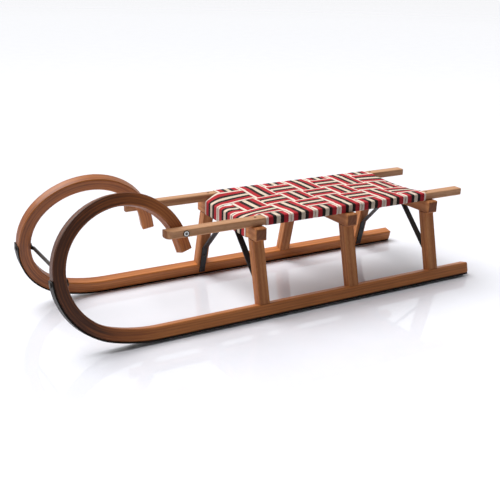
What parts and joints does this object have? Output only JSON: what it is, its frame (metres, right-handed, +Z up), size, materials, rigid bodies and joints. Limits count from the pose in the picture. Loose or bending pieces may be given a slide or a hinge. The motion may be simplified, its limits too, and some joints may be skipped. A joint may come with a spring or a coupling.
{
  "type": "horned wooden sled",
  "caption": "Low wooden sled with curled bentwood runners on steel shoes, trestle legs, two seat rails and a woven striped webbing seat.",
  "frame": {"origin": "on the ground, midway along and across the sled", "axes": "+X towards the horns, +Y to the sled's left, +Z up"},
  "size_m": [1.1114, 0.3564, 0.3173],
  "materials": {
    "bent_ash": "satin",
    "beech": "satin",
    "shoe_steel": "satin",
    "rod_steel": "satin",
    "black_steel": "satin",
    "zinc": "bright",
    "webbing": "matte"
  },
  "bodies": {
    "root": {"brace_front_left": "black_steel", "brace_front_right": "black_steel", "brace_rear_left": "black_steel", "brace_rear_right": "black_steel", "cross_strap_1": "webbing", "cross_strap_2": "webbing", "cross_strap_3": "webbing", "cross_strap_4": "webbing", "cross_strap_5": "webbing", "cross_strap_6": "webbing", "cross_strap_7": "webbing", "crossbeam_front": "beech", "crossbeam_middle": "beech", "crossbeam_rear": "beech", "draw_rod": "rod_steel", "horn_bolt_left": "zinc", "horn_bolt_right": "zinc", "leg_front_left": "beech", "leg_front_right": "beech", "leg_middle_left": "beech", "leg_middle_right": "beech", "leg_rear_left": "beech", "leg_rear_right": "beech", "long_strap_1": "webbing", "long_strap_2": "webbing", "long_strap_3": "webbing", "rail_bolt_left": "zinc", "rail_bolt_right": "zinc", "rail_screws": "black_steel", "runner_left": "bent_ash", "runner_right": "bent_ash", "seat_rail_left": "beech", "seat_rail_right": "beech", "shoe_left": "shoe_steel", "shoe_right": "shoe_steel"}
  },
  "joints": []
}
